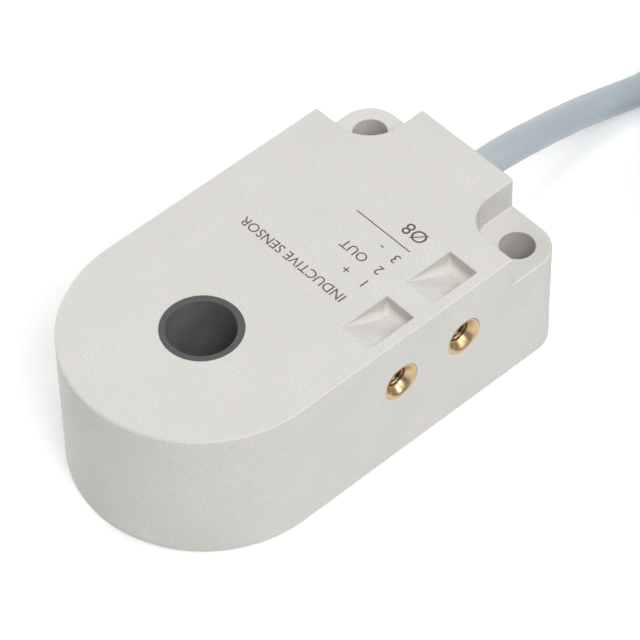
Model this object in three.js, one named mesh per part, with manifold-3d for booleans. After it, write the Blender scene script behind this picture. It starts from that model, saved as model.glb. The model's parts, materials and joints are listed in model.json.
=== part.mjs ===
// Ring-type inductive proximity sensor, as an assembly of separate pieces.
// Millimetres. +Z is up and +Y runs from the round sensing end to the cable end. The origin
// is on the underside, at the middle of the housing's width and length.

import * as THREE from 'three';
import { mergeVertices } from 'three/addons/utils/BufferGeometryUtils.js';
import Module from 'manifold-3d';

const wasm = await Module();
wasm.setup();

// ---------------------------------------------------------------- driving dimensions

const gap = 0.3;             // clearance kept between neighbouring pieces
const beyond = 1;            // how far a cutting tool runs past the face it opens

const housing = {
  width: 33.5,
  length: 58.75,
  height: 20,
  cornerRadius: 4.1,
  wall: 2.2,
  roof: 2.4,
  backWall: 2.575,
};
const halfWidth = housing.width / 2;
const backY = housing.length / 2;
const frontY = -backY;
const boreY = frontY + halfWidth;

const sleeve = { boreRadius: 4.1, outerRadius: 4.95, chamfer: 0.25 };
const ear = {
  holeX: 12.6,
  holeY: backY - 4.07,
  holeRadius: 2.15,
  seatZ: 15.4,
  wallX: 7.8,
  wallY: 20.45,
  fillet: 4.8,
};
const insert = {
  z: 12.5,
  ys: [2.75, 12.72],
  radius: 2.5,
  threadRadius: 1.25,
  mouthRadius: 2.05,
  mouthDepth: 0.9,
  grooveDepth: 0.4,
  length: 5.5,
};
const pocket = { lowX: 10.85, highX: 15.3, towardsFront: 3.77, towardsBack: 3.28, depth: 2.8 };

const insertBoss = { innerX: 9.6, frontY: -2.2 };
const neck = { halfWidth: 5.6, startY: 18.4 };
const baseCover = {
  recessWall: 1.2,
  recessBackWall: 1.8,
  recessNeckExtra: 0.8,
  recessDepth: 2.2,
  thickness: 1.9,
};
const potting = { bottom: 2.6, top: 4.9 };

const bobbin = {
  innerRadius: 5.4,
  coreRadius: 6.2,
  flangeRadius: 10.4,
  flangeThickness: 0.9,
  bottom: 9.4,
  top: 17.2,
};
const winding = { outerRadius: 10.1 };
const ferrite = { innerRadius: 10.8, outerRadius: 12.8 };

const board = {
  lowX: -13.6,
  highX: 8.8,
  lowY: 1.2,
  highY: 17.6,
  bottom: 5.2,
  thickness: 1.6,
  cornerRadius: 1,
};
const boardTop = board.bottom + board.thickness;
const mountedZ = boardTop + gap;

// Where the components' middles stand on the board.
const componentPlaces = {
  oscillatorChip: [-4.4, 8],
  outputTransistor: [4.6, 10.2],
  resonanceCapacitor: [4.4, 4.6],
  supplyCapacitor: [-10.6, 13.8],
  protectionDiode: [6.1, 14.2],
  resistors: [
    [-10.6, 5],
    [-10.6, 8],
    [0.4, 11],
  ],
};
const resonanceCapacitor = { length: 3.2, width: 2.5, height: 1.4 };
const resistor = { length: 2, width: 1.25, height: 0.5 };
const canSize = { footHalfWidth: 2.1, footHeight: 0.7, radius: 2, top: 4.6 };
const diode = { radius: 1.2, halfLength: 1.9, capExtraRadius: 0.1, capHalfLength: 0.4, capX: 2.1 };
const coilLeadX = 1.5;

const cable = { radius: 2, exitZ: 14.4, jacketEndY: 20.8, holeDepth: 4 };
const grommet = { innerRadius: 2.3, bodyRadius: 3, collarRadius: 3.4, innerY: 25.6, collarThickness: 0.7 };
const clamp = { outerRadius: 2.9, lowY: 21.6, highY: 24.4 };
const conductorRadius = 0.6;
const innerConductorPitch = 1.5;
const freeConductorPitch = 1.3;
const coilWireRadius = 0.25;

const storedCoil = { x: 24.5, y: 81.7, innerRadius: 10.8, outerRadius: 31.6, bottom: 1.2, top: 13.6 };
const tie = {
  width: 2.6,
  thickness: 0.9,
  cornerRadius: 1.6,
  tailClearance: 0.6,
  headWidth: 4.4,
  headDepth: 3,
  headHeight: 4.6,
};
// The last turns wind outwards, clockwise seen from above, on top of the full layers.
const tail = { startAngle: 169, turned: 999, startRadius: 13, endRadius: 24.4 };
const tailEndAngle = tail.startAngle - tail.turned;
const tailZ = storedCoil.top + gap + cable.radius;
const tieAngles = [45, -60];
const conductorFan = { turned: 80, endClearAngle: 1.2, startDrop: 0.4, firstOffset: 0.3, drift: 1.5 };
const leadTip = { radius: 0.5, length: 5, clearAngle: 1 };

// Where the free cable runs, from its end inside the housing to the stored coil.
const leadRoute = [
  [0, cable.jacketEndY, 14.4],
  [0, 23, 14.4],
  [0, 25.2, 14.4],
  [0, 27.4, 14.4],
  [0, 29.4, 14.4],
  [-0.1, 31.1, 14.25],
  [-0.25, 33, 13.95],
  [-0.5, 35.2, 13.45],
  [-0.8, 37.4, 12.75],
  [-1.15, 39.7, 11.95],
  [-1.5, 41.9, 11.05],
  [-1.9, 44.1, 10.1],
  [-2.35, 46.3, 9.1],
  [-2.7, 48.5, 8.1],
  [-3.1, 50.7, 7.1],
  [-3.4, 52.9, 6.15],
  [-3.55, 55.1, 5.25],
  [-3.6, 57.3, 4.5],
  [-3.55, 59.3, 3.9],
  [-3.4, 61.1, 3.45],
];

// ---------------------------------------------------------------- geometry helpers

const degrees = Math.PI / 180;

// A closed outline through [x, y, cornerRadius] corners given counter-clockwise; a corner's
// radius turns it into an arc.
function outlinePoints(corners) {
  const points = [];
  const addPoint = (point) => {
    const isRepeat = points.some((other) => other.distanceTo(point) < 1e-6);
    if (!isRepeat) points.push(point);
  };
  corners.forEach(([x, y, radius = 0], index) => {
    const corner = new THREE.Vector2(x, y);
    if (radius === 0) {
      addPoint(corner);
      return;
    }
    const before = corners.at(index - 1);
    const after = corners[(index + 1) % corners.length];
    const towardsBefore = new THREE.Vector2(before[0], before[1]).sub(corner).normalize();
    const towardsAfter = new THREE.Vector2(after[0], after[1]).sub(corner).normalize();
    const halfAngle = Math.acos(towardsBefore.dot(towardsAfter)) / 2;
    const tangentLength = radius / Math.tan(halfAngle);
    const bisector = towardsBefore.clone().add(towardsAfter).normalize();
    const centre = corner.clone().addScaledVector(bisector, radius / Math.sin(halfAngle));
    const start = corner.clone().addScaledVector(towardsBefore, tangentLength).sub(centre);
    const end = corner.clone().addScaledVector(towardsAfter, tangentLength).sub(centre);
    const sweep = Math.atan2(start.cross(end), start.dot(end));
    const steps = Math.max(3, Math.ceil(Math.abs(sweep) * Math.sqrt(radius) * 3));
    for (let step = 0; step <= steps; step++) {
      const turned = start.clone().rotateAround(new THREE.Vector2(0, 0), (sweep * step) / steps);
      addPoint(turned.add(centre));
    }
  });
  return points;
}

function plate(corners, bottom, top, holes = []) {
  const shape = new THREE.Shape(outlinePoints(corners));
  for (const hole of holes) shape.holes.push(new THREE.Path(hole));
  const geometry = new THREE.ExtrudeGeometry(shape, { depth: top - bottom, bevelEnabled: false });
  return geometry.translate(0, 0, bottom);
}

function circlePoints(x, y, radius, sides) {
  const points = [];
  for (let side = 0; side < sides; side++) {
    const angle = (2 * Math.PI * side) / sides;
    points.push(new THREE.Vector2(x + radius * Math.cos(angle), y + radius * Math.sin(angle)));
  }
  return points;
}

// A post along Z, or along X or Y when it is turned.
function post(radius, low, high, sides = 32) {
  const geometry = new THREE.CylinderGeometry(radius, radius, high - low, sides);
  return geometry.rotateX(Math.PI / 2).translate(0, 0, (low + high) / 2);
}

function alongX(geometry) {
  return geometry.rotateY(Math.PI / 2);
}

function alongY(geometry) {
  return geometry.rotateX(-Math.PI / 2);
}

function block(lowX, highX, lowY, highY, lowZ, highZ) {
  const geometry = new THREE.BoxGeometry(highX - lowX, highY - lowY, highZ - lowZ);
  return geometry.translate((lowX + highX) / 2, (lowY + highY) / 2, (lowZ + highZ) / 2);
}

// A ring around Z, turned from a closed profile of [radius, height] points that runs up its
// outer side and down its inner side.
function turnedRing(profile, sides = 48) {
  const points = [...profile, profile[0]].map(([radius, height]) => new THREE.Vector2(radius, height));
  return new THREE.LatheGeometry(points, sides).rotateX(Math.PI / 2);
}

function plainRing(innerRadius, outerRadius, low, high, sides = 48) {
  return turnedRing(
    [
      [innerRadius, low],
      [outerRadius, low],
      [outerRadius, high],
      [innerRadius, high],
    ],
    sides,
  );
}

// A round bar along a smooth curve through the given points.
function barAlong(route, radius, steps, sides = 8) {
  const curve = new THREE.CatmullRomCurve3(route.map((point) => new THREE.Vector3(...point)));
  const section = new THREE.Shape(circlePoints(0, 0, radius, sides));
  return new THREE.ExtrudeGeometry(section, { extrudePath: curve, steps, bevelEnabled: false });
}

function toSolid(geometry) {
  const bare = geometry.clone();
  bare.deleteAttribute('normal');
  bare.deleteAttribute('uv');
  const merged = mergeVertices(bare);
  const vertProperties = new Float32Array(merged.attributes.position.array);
  const triVerts = new Uint32Array(merged.index.array);
  return new wasm.Manifold(new wasm.Mesh({ numProp: 3, vertProperties, triVerts }));
}

function toGeometry(solid) {
  const mesh = solid.getMesh();
  const geometry = new THREE.BufferGeometry();
  geometry.setAttribute('position', new THREE.BufferAttribute(mesh.vertProperties, 3));
  geometry.setIndex(new THREE.BufferAttribute(mesh.triVerts, 1));
  geometry.computeVertexNormals();
  return geometry;
}

function cut(geometry, tools) {
  const start = toSolid(geometry);
  return toGeometry(tools.reduce((solid, tool) => solid.subtract(toSolid(tool)), start));
}

function join(geometries) {
  const [first, ...others] = geometries.map(toSolid);
  return toGeometry(others.reduce((solid, other) => solid.add(other), first));
}

// ---------------------------------------------------------------- outlines of the housing

function bodyCorners(inset) {
  const side = halfWidth - inset;
  const back = backY - inset;
  return [
    [-side, frontY + inset, side],
    [side, frontY + inset, side],
    [side, back, housing.cornerRadius],
    [-side, back, housing.cornerRadius],
  ];
}

// The space inside the shell: it narrows to a neck between the two screw ears.
function interiorCorners(inset, neckHalfWidth, neckEndY, sideX = halfWidth - inset) {
  const side = halfWidth - inset;
  const shoulderY = neck.startY - (inset - housing.wall);
  const corners = [
    [-side, frontY + inset, side],
    [side, frontY + inset, side],
  ];
  if (sideX < side) {
    corners.push([side, insertBoss.frontY], [sideX, insertBoss.frontY]);
  }
  corners.push(
    [sideX, shoulderY],
    [neckHalfWidth, shoulderY],
    [neckHalfWidth, neckEndY],
    [-neckHalfWidth, neckEndY],
    [-neckHalfWidth, shoulderY],
    [-side, shoulderY],
  );
  return corners;
}

// ---------------------------------------------------------------- housing pieces

function earPocket(side) {
  const corners = [
    [side * ear.wallX, ear.wallY, ear.fillet],
    [side * (halfWidth + beyond), ear.wallY],
    [side * (halfWidth + beyond), backY + beyond],
    [side * ear.wallX, backY + beyond],
  ];
  return plate(corners, ear.seatZ, housing.height + beyond);
}

// A pocket whose floor slopes down from the top face at its front end to its full depth.
function wedgePocket(insertY) {
  const front = insertY - pocket.towardsFront;
  const back = insertY + pocket.towardsBack;
  const slope = pocket.depth / (back - front);
  const profile = [
    [front, housing.height],
    [back, housing.height - pocket.depth],
    [back, housing.height + beyond],
    [front - beyond, housing.height + beyond],
    [front - beyond, housing.height + slope * beyond],
  ];
  const tool = plate(profile, 0, pocket.highX - pocket.lowX);
  return tool.rotateX(Math.PI / 2).rotateZ(Math.PI / 2).translate(pocket.lowX, 0, 0);
}

// The outline of the recess for the base cover, or of the cover itself with a clearance.
function coverCorners(clearance) {
  const neckHalfWidth = neck.halfWidth + baseCover.recessNeckExtra - clearance;
  const neckEndY = backY - baseCover.recessBackWall - clearance;
  return interiorCorners(baseCover.recessWall + clearance, neckHalfWidth, neckEndY);
}

function housingShell() {
  const roofZ = housing.height - housing.roof;
  const sleeveHole = post(sleeve.outerRadius + gap, -beyond, housing.height + beyond, 48);
  const interiorEndY = backY - housing.backWall;
  const interior = interiorCorners(housing.wall, neck.halfWidth, interiorEndY, insertBoss.innerX);
  const recess = coverCorners(0);
  const tools = [
    sleeveHole.translate(0, boreY, 0),
    plate(interior, -beyond, roofZ),
    plate(recess, -beyond, baseCover.recessDepth),
  ];
  for (const side of [-1, 1]) {
    const screwHole = post(ear.holeRadius, -beyond, housing.height);
    tools.push(earPocket(side), screwHole.translate(side * ear.holeX, ear.holeY, 0));
  }
  for (const insertY of insert.ys) {
    const hole = alongX(post(insert.radius + gap, -insert.length - gap, beyond));
    tools.push(hole.translate(halfWidth, insertY, insert.z), wedgePocket(insertY));
  }
  const cableHole = alongY(post(grommet.bodyRadius + gap, -cable.holeDepth, beyond));
  tools.push(cableHole.translate(0, backY, cable.exitZ));
  return cut(plate(bodyCorners(0), 0, housing.height), tools);
}

function sleeveSolid() {
  const { boreRadius, outerRadius, chamfer } = sleeve;
  return turnedRing([
    [boreRadius + chamfer, 0],
    [outerRadius, 0],
    [outerRadius, housing.height],
    [boreRadius + chamfer, housing.height],
    [boreRadius, housing.height - chamfer],
    [boreRadius, chamfer],
  ]);
}

function sleeveClearance() {
  return circlePoints(0, boreY, sleeve.outerRadius + gap, 48);
}

function baseCoverSolid() {
  return plate(coverCorners(gap), 0, baseCover.thickness, [sleeveClearance()]);
}

function pottingSolid() {
  const inset = housing.wall + gap;
  const endY = backY - housing.backWall - gap;
  const corners = interiorCorners(inset, neck.halfWidth - gap, endY, insertBoss.innerX - gap);
  return plate(corners, potting.bottom, potting.top, [sleeveClearance()]);
}

// A brass threaded insert along Z with its mouth at 0: flared mouth, thread bore, two knurled
// bands with a groove between them.
function insertSolid() {
  const { radius, threadRadius, mouthRadius, mouthDepth, length } = insert;
  const grooveRadius = radius - insert.grooveDepth;
  return turnedRing(
    [
      [threadRadius, -length],
      [radius, -length],
      [radius, -length * 0.6],
      [grooveRadius, -length * 0.55],
      [grooveRadius, -length * 0.4],
      [radius, -length * 0.35],
      [radius, 0],
      [mouthRadius, 0],
      [threadRadius, -mouthDepth],
    ],
    32,
  );
}

// The grommet along Z with its outer collar above 0 and its body below, in the wall.
function grommetSolid() {
  const collarLow = gap;
  const collarHigh = gap + grommet.collarThickness;
  return turnedRing(
    [
      [grommet.innerRadius, grommet.innerY - backY],
      [grommet.bodyRadius, grommet.innerY - backY],
      [grommet.bodyRadius, collarLow],
      [grommet.collarRadius, collarLow],
      [grommet.collarRadius, collarHigh],
      [grommet.innerRadius, collarHigh],
    ],
    32,
  );
}

// ---------------------------------------------------------------- sensing coil

function bobbinSolid() {
  const { innerRadius, coreRadius, flangeRadius, flangeThickness, bottom, top } = bobbin;
  return turnedRing([
    [innerRadius, bottom],
    [flangeRadius, bottom],
    [flangeRadius, bottom + flangeThickness],
    [coreRadius, bottom + flangeThickness],
    [coreRadius, top - flangeThickness],
    [flangeRadius, top - flangeThickness],
    [flangeRadius, top],
    [innerRadius, top],
  ]);
}

function windingSolid() {
  const low = bobbin.bottom + bobbin.flangeThickness + gap;
  const high = bobbin.top - bobbin.flangeThickness - gap;
  return plainRing(bobbin.coreRadius + gap, winding.outerRadius, low, high);
}

function coilLeadSolid(x) {
  const route = [
    [x, boreY + 7, bobbin.bottom - 0.6],
    [x, boreY + 9.6, 8.2],
    [x, boreY + 12.6, 8.3],
    [x, boreY + 14.4, 7.9],
    [x, boreY + 15.1, mountedZ],
  ];
  return barAlong(route, coilWireRadius, 12);
}

// ---------------------------------------------------------------- circuit board

function boardSolid() {
  const { lowX, highX, lowY, highY, bottom, cornerRadius } = board;
  const corners = [
    [lowX, lowY, cornerRadius],
    [highX, lowY, cornerRadius],
    [highX, highY, cornerRadius],
    [lowX, highY, cornerRadius],
  ];
  return plate(corners, bottom, boardTop);
}

// A moulded chip body on bent legs, standing on z = 0 and centred on the origin.
function chipSolid(length, width, height, legXs, legWidth) {
  const legReach = 0.9;
  const legThickness = 0.2;
  const legZ = height * 0.45;
  const pieces = [block(-length / 2, length / 2, -width / 2, width / 2, 0.1, height)];
  for (const { x, side } of legXs) {
    const inner = side * (width / 2 - 0.2);
    const knee = side * (width / 2 + legReach / 2);
    const toe = side * (width / 2 + legReach);
    const shin = side * (width / 2 + legReach / 2 - legThickness);
    const span = (a, b) => [Math.min(a, b), Math.max(a, b)];
    const low = x - legWidth / 2;
    const high = x + legWidth / 2;
    pieces.push(block(low, high, ...span(inner, knee), legZ, legZ + legThickness));
    pieces.push(block(low, high, ...span(shin, knee), 0, legZ + legThickness));
    pieces.push(block(low, high, ...span(shin, toe), 0, legThickness));
  }
  return join(pieces);
}

function legsInRows(count, pitch) {
  const legs = [];
  for (let index = 0; index < count; index++) {
    const x = (index - (count - 1) / 2) * pitch;
    legs.push({ x, side: -1 }, { x, side: 1 });
  }
  return legs;
}

function oscillatorChip() {
  return chipSolid(4.9, 3.9, 1.7, legsInRows(4, 1.27), 0.42);
}

function outputTransistor() {
  const legs = [
    { x: -1.5, side: -1 },
    { x: 0, side: -1 },
    { x: 1.5, side: -1 },
    { x: 0, side: 1 },
  ];
  return chipSolid(4.5, 2.5, 1.5, legs, 0.5);
}

// A chip resistor or capacitor: a ceramic body between two plated ends.
function chipWithEnds({ length, width, height }) {
  const plating = 0.06;
  const endLength = length * 0.2;
  const pieces = [block(-length / 2, length / 2, -width / 2, width / 2, plating, height)];
  for (const side of [-1, 1]) {
    const outer = side * (length / 2 + plating);
    const inner = side * (length / 2 - endLength);
    const low = Math.min(outer, inner);
    const high = Math.max(outer, inner);
    pieces.push(block(low, high, -width / 2 - plating, width / 2 + plating, 0, height + plating));
  }
  return join(pieces);
}

// An aluminium can capacitor on its square plastic foot.
function canCapacitor() {
  const { footHalfWidth, footHeight, radius, top } = canSize;
  const foot = block(-footHalfWidth, footHalfWidth, -footHalfWidth, footHalfWidth, 0, footHeight);
  const can = post(radius, footHeight / 2, top, 24);
  return join([foot, can]);
}

function diodeSolid() {
  const capRadius = diode.radius + diode.capExtraRadius;
  const body = alongX(post(diode.radius, -diode.halfLength, diode.halfLength, 20));
  const caps = [-1, 1].map((side) => {
    const cap = post(capRadius, -diode.capHalfLength, diode.capHalfLength, 20);
    return alongX(cap).translate(side * diode.capX, 0, 0);
  });
  return join([body, ...caps]).translate(0, 0, capRadius);
}

// ---------------------------------------------------------------- cable

function innerConductor(offset) {
  const route = [
    [offset, cable.jacketEndY - gap, cable.exitZ],
    [offset * 1.5, 18.6, 13.6],
    [offset * 2, 16.6, 11.4],
    [offset * 2, 15.8, 9],
    [offset * 2, 15.7, mountedZ],
  ];
  return barAlong(route, conductorRadius, 14);
}

function onStoredCoil(angle, radius, z) {
  const x = storedCoil.x + radius * Math.cos(angle * degrees);
  const y = storedCoil.y + radius * Math.sin(angle * degrees);
  return [x, y, z];
}

// The tail's distance from the coil's axis once it has turned through an angle.
function tailRadius(turned) {
  return THREE.MathUtils.lerp(tail.startRadius, tail.endRadius, turned / tail.turned);
}

function tailSolid() {
  const route = [];
  const pointsPerTurn = 20;
  const points = Math.ceil((tail.turned / 360) * pointsPerTurn);
  for (let point = 0; point <= points; point++) {
    const turned = (tail.turned * point) / points;
    route.push(onStoredCoil(tail.startAngle - turned, tailRadius(turned), tailZ));
  }
  return barAlong(route, cable.radius, points);
}

// One stripped conductor, from the tail's end down onto the full layers and along them.
function conductorRoute(spread) {
  const restZ = storedCoil.top + gap + conductorRadius;
  const points = 7;
  const route = [];
  for (let point = 0; point < points; point++) {
    const along = point / (points - 1);
    const settled = THREE.MathUtils.smoothstep(along, 0, 0.4);
    const angle = tailEndAngle - conductorFan.endClearAngle - conductorFan.turned * along;
    const radius = tail.endRadius + conductorFan.firstOffset + spread + conductorFan.drift * along;
    const z = THREE.MathUtils.lerp(tailZ - conductorFan.startDrop, restZ, settled);
    route.push(onStoredCoil(angle, radius, z));
  }
  return route;
}

function freeConductor(spread) {
  return barAlong(conductorRoute(spread), conductorRadius, 12);
}

function conductorTip(spread) {
  const wireEndAngle = tailEndAngle - conductorFan.endClearAngle - conductorFan.turned;
  const startAngle = wireEndAngle - leadTip.clearAngle;
  const radius = tail.endRadius + conductorFan.firstOffset + spread + conductorFan.drift;
  const endAngle = startAngle - leadTip.length / radius / degrees;
  const z = storedCoil.top + gap + conductorRadius;
  const angles = [startAngle, (startAngle + endAngle) / 2, endAngle];
  const route = angles.map((angle) => onStoredCoil(angle, radius, z));
  return barAlong(route, leadTip.radius, 3);
}

// A cable tie's strap surrounds the full layers and the tail's turns, in the plane through the
// coil's axis. Each held corner is [radius from the axis, height, outward side, upward side].
function tieSolid(angle) {
  const { innerRadius, outerRadius, bottom, top } = storedCoil;
  const turnedHere = tail.startAngle - angle;
  const turnsBefore = Math.floor((tail.turned - turnedHere) / 360);
  const tailOuter = tailRadius(turnedHere + 360 * turnsBefore) + cable.radius + tie.tailClearance;
  const tailTop = tailZ + cable.radius;
  const heldCorners = [
    [innerRadius, bottom, -1, -1],
    [outerRadius, bottom, 1, -1],
    [outerRadius, top, 1, 1],
    [tailOuter, tailTop, 1, 1],
    [innerRadius, tailTop, -1, 1],
  ];
  const outer = heldCorners.map(([radius, height, sideR, sideZ]) => [
    radius + sideR * (gap + tie.thickness),
    height + sideZ * (gap + tie.thickness),
    tie.cornerRadius,
  ]);
  const inner = heldCorners.map(([radius, height, sideR, sideZ]) => [
    radius + sideR * gap,
    height + sideZ * gap,
    tie.cornerRadius - tie.thickness,
  ]);
  const strap = plate(outer, -tie.width / 2, tie.width / 2, [outlinePoints(inner)]);
  const headInner = outerRadius + gap + tie.thickness / 2;
  const headZ = (bottom + top) / 2;
  const head = block(
    headInner,
    headInner + tie.headDepth,
    headZ - tie.headHeight / 2,
    headZ + tie.headHeight / 2,
    -tie.headWidth / 2,
    tie.headWidth / 2,
  );
  return join([strap, head]).rotateX(Math.PI / 2);
}

// ---------------------------------------------------------------- materials and assembly

const finishes = {
  housingPlastic: { color: 0xdcdcd8, roughness: 0.62, metalness: 0 },
  sleevePlastic: { color: 0x464c50, roughness: 0.5, metalness: 0 },
  coverPlastic: { color: 0xc9c9c5, roughness: 0.6, metalness: 0 },
  brass: { color: 0xc99f5a, roughness: 0.3, metalness: 1 },
  resin: { color: 0x23211f, roughness: 0.35, metalness: 0 },
  bobbinPlastic: { color: 0xe8e2d0, roughness: 0.55, metalness: 0 },
  copper: { color: 0xb4632e, roughness: 0.35, metalness: 1 },
  ferrite: { color: 0x2d2c2e, roughness: 0.75, metalness: 0.1 },
  boardLaminate: { color: 0x1d6a3c, roughness: 0.45, metalness: 0 },
  chipPlastic: { color: 0x19191b, roughness: 0.5, metalness: 0 },
  resistorCeramic: { color: 0x2a2a33, roughness: 0.4, metalness: 0 },
  capacitorCeramic: { color: 0xb08d5c, roughness: 0.5, metalness: 0 },
  canAluminium: { color: 0xc4c6c8, roughness: 0.3, metalness: 1 },
  diodeGlass: { color: 0x9c4a2a, roughness: 0.2, metalness: 0 },
  grommetRubber: { color: 0x3a3d40, roughness: 0.75, metalness: 0 },
  clampSteel: { color: 0xb9bbbd, roughness: 0.35, metalness: 1 },
  cableJacket: { color: 0xa9b5bc, roughness: 0.45, metalness: 0 },
  brownInsulation: { color: 0x5c351d, roughness: 0.45, metalness: 0 },
  blackInsulation: { color: 0x18181a, roughness: 0.45, metalness: 0 },
  blueInsulation: { color: 0x2352a8, roughness: 0.45, metalness: 0 },
  tinnedCopper: { color: 0xc6c8ca, roughness: 0.3, metalness: 1 },
  tieNylon: { color: 0xe9e8e0, roughness: 0.5, metalness: 0 },
};

const sensor = new THREE.Group();

function addPiece(name, geometry, finish, position = [0, 0, 0], turnZ = 0) {
  const mesh = new THREE.Mesh(geometry, new THREE.MeshStandardMaterial(finishes[finish]));
  mesh.name = name;
  mesh.position.set(...position);
  mesh.rotation.z = turnZ;
  sensor.add(mesh);
}

function addHousing() {
  addPiece('housing_shell', housingShell(), 'housingPlastic');
  addPiece('bore_sleeve', sleeveSolid(), 'sleevePlastic', [0, boreY, 0]);
  addPiece('base_cover', baseCoverSolid(), 'coverPlastic');
  addPiece('potting_resin', pottingSolid(), 'resin');
  const insertNames = ['insert_front', 'insert_rear'];
  insert.ys.forEach((y, index) => {
    addPiece(insertNames[index], alongX(insertSolid()), 'brass', [halfWidth, y, insert.z]);
  });
}

function addSensingCoil() {
  addPiece('coil_bobbin', bobbinSolid(), 'bobbinPlastic', [0, boreY, 0]);
  addPiece('coil_winding', windingSolid(), 'copper', [0, boreY, 0]);
  const ferriteRing = plainRing(ferrite.innerRadius, ferrite.outerRadius, bobbin.bottom, bobbin.top);
  addPiece('ferrite_ring', ferriteRing, 'ferrite', [0, boreY, 0]);
  addPiece('coil_lead_start', coilLeadSolid(-coilLeadX), 'copper');
  addPiece('coil_lead_finish', coilLeadSolid(coilLeadX), 'copper');
}

function addComponent(name, geometry, finish, place) {
  addPiece(name, geometry, finish, [...place, mountedZ]);
}

function addCircuit() {
  const places = componentPlaces;
  addPiece('circuit_board', boardSolid(), 'boardLaminate');
  addComponent('oscillator_chip', oscillatorChip(), 'chipPlastic', places.oscillatorChip);
  addComponent('output_transistor', outputTransistor(), 'chipPlastic', places.outputTransistor);
  const resonancePart = chipWithEnds(resonanceCapacitor);
  addComponent('resonance_capacitor', resonancePart, 'capacitorCeramic', places.resonanceCapacitor);
  addComponent('supply_capacitor', canCapacitor(), 'canAluminium', places.supplyCapacitor);
  addComponent('protection_diode', diodeSolid(), 'diodeGlass', places.protectionDiode);
  places.resistors.forEach((place, index) => {
    addComponent(`resistor_${index + 1}`, chipWithEnds(resistor), 'resistorCeramic', place);
  });
}

function addCable() {
  addPiece('cable_grommet', alongY(grommetSolid()), 'grommetRubber', [0, backY, cable.exitZ]);
  const clampRing = plainRing(grommet.innerRadius, clamp.outerRadius, clamp.lowY, clamp.highY, 32);
  addPiece('cable_clamp', alongY(clampRing), 'clampSteel', [0, 0, cable.exitZ]);
  addPiece('cable_lead', barAlong(leadRoute, cable.radius, 16), 'cableJacket');
  const { x, y, innerRadius, outerRadius, bottom, top } = storedCoil;
  const layers = plainRing(innerRadius, outerRadius, bottom, top, 64);
  addPiece('cable_coil', layers, 'cableJacket', [x, y, 0]);
  addPiece('cable_tail', tailSolid(), 'cableJacket');
  tieAngles.forEach((angle, index) => {
    addPiece(`cable_tie_${index + 1}`, tieSolid(angle), 'tieNylon', [x, y, 0], angle * degrees);
  });
}

function addConductors() {
  const conductors = [
    { name: 'brown', side: -1 },
    { name: 'black', side: 0 },
    { name: 'blue', side: 1 },
  ];
  for (const { name, side } of conductors) {
    addPiece(`inner_wire_${name}`, innerConductor(side * innerConductorPitch), `${name}Insulation`);
    addPiece(`free_wire_${name}`, freeConductor(side * freeConductorPitch), `${name}Insulation`);
    addPiece(`wire_tip_${name}`, conductorTip(side * freeConductorPitch), 'tinnedCopper');
  }
}

addHousing();
addSensingCoil();
addCircuit();
addCable();
addConductors();

export default sensor;
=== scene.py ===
"""Ring-type inductive proximity sensor: the looks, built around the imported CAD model.

Lengths at the top are in millimetres, like the CAD; everything is built in metres. +Z is up, +Y runs from
the round sensing end to the cable end, and the two threaded inserts are in the +X side.
"""

import json
import math

import bmesh
import bpy
from mathutils import Matrix, Vector


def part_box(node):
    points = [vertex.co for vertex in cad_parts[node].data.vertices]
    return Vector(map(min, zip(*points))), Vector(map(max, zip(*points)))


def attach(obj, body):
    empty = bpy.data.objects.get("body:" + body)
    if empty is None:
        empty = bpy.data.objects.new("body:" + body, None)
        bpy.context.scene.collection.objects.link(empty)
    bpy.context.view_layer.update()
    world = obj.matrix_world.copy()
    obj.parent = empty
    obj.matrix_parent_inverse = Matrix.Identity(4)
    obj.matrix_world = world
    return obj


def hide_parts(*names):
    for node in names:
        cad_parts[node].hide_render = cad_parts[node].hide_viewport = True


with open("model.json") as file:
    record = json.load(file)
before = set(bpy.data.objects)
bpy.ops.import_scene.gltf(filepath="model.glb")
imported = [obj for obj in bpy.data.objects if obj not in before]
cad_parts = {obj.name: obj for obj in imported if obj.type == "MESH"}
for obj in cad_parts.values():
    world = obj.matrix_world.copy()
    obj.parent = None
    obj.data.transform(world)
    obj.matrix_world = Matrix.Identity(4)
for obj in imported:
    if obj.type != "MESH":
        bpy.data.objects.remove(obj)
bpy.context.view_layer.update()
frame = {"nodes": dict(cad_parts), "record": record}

# ------------------------------------------------------------------ sizes in millimetres

MM = 0.001

EAR_HOLE = {"x": 12.6, "from_back": 4.07, "radius": 2.15, "lip": 0.2}
EAR_SEAT_Z = 15.4
EAR_WALL = {"x": 7.8, "y": 20.45, "fillet": 4.8}
BACK_CORNER_RADIUS = 4.1
EDGE_ROUNDING = 0.35

POCKET = {"low_x": 10.85, "high_x": 15.3, "towards_front": 3.77, "towards_back": 3.28, "depth": 2.8}
POCKET_LIP = 0.2
POCKET_FLOOR_FILLET = 1.0

WALL = {"side": 2.2, "roof": 2.4, "back": 2.575}
INSERT_BOSS = {"inner_x": 9.6, "front_y": -2.2}
NECK = {"half_width": 5.6, "start_y": 18.4}
RECESS = {"wall": 1.2, "depth": 2.2, "neck_extra": 0.8, "back": 1.8}
COVER_THICKNESS = 1.9
COVER_CLEARANCE = 0.08

BORE_RADIUS = 4.1
SLEEVE_LIP = 0.18

INSERT = {
    "rim_width": 0.16,
    "mouth_depth": 0.95,
    "thread_radius": 1.42,
    "thread_depth": 0.2,
    "thread_pitch": 0.5,
}
GROMMET_BODY_RADIUS = 3.0
CABLE_HOLE = {"radius": 3.05, "depth": 4.0}
KNURL = {"teeth": 40, "depth": 0.07}

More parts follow.
